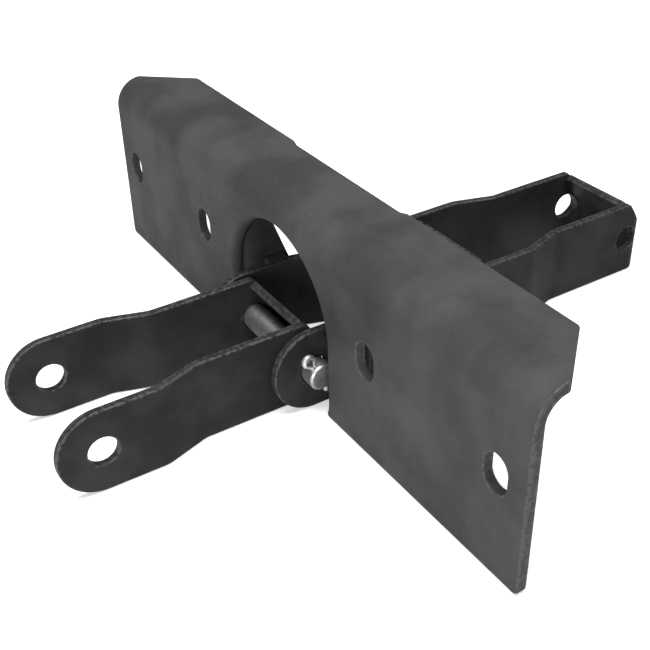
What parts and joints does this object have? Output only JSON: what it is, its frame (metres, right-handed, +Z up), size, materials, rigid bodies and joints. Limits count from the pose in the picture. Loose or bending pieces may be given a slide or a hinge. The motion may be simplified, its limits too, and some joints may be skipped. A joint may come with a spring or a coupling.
{
  "type": "trailer hitch drag linkage",
  "caption": "Flat-bar hitch linkage: pinned U-shaped links in line, the middle one carrying an arched, slotted cross plate with a top flange.",
  "frame": {"origin": "on the resting plane, under the middle of the bounding box", "axes": "+X along the cross plate, +Y from the front link's open eyes to the rear link's closed end, +Z up"},
  "size_m": [0.422, 0.4144, 0.115],
  "materials": {
    "link_steel": "satin black over rolled flat bar",
    "plate_steel": "matt black over hot-rolled plate",
    "pin_steel": "turned bare steel, lightly oiled",
    "split_pin_steel": "drawn wire, bright zinc",
    "weld_steel": "painted weld bead"
  },
  "bodies": {
    "carrier": {"middle_link": "link_steel", "cross_plate": "plate_steel", "left_lug": "plate_steel", "right_lug": "plate_steel", "left_link_welds": "weld_steel", "right_link_welds": "weld_steel", "left_plate_welds": "weld_steel", "right_plate_welds": "weld_steel"},
    "front_link": {"front_link": "link_steel"},
    "rear_link": {"rear_link": "link_steel"},
    "front_pin": {"front_pin": "pin_steel", "front_split_pin": "split_pin_steel"},
    "rear_pin": {"rear_pin": "pin_steel", "rear_split_pin": "split_pin_steel"}
  },
  "joints": [
    {"name": "front_link_swing", "type": "hinge", "parent": "carrier", "child": "front_link", "pos_m": [0, -0.05725, 0.025], "axis": [1, 0, 0], "range_deg": [-60, 60]},
    {"name": "rear_link_swing", "type": "hinge", "parent": "carrier", "child": "rear_link", "pos_m": [0, 0.06775, 0.025], "axis": [1, 0, 0], "range_deg": [-60, 60]},
    {"name": "front_pin_spin", "type": "hinge", "parent": "carrier", "child": "front_pin", "pos_m": [0, -0.05725, 0.025], "axis": [1, 0, 0], "continuous": true},
    {"name": "rear_pin_spin", "type": "hinge", "parent": "carrier", "child": "rear_pin", "pos_m": [0, 0.06775, 0.025], "axis": [1, 0, 0], "continuous": true}
  ]
}
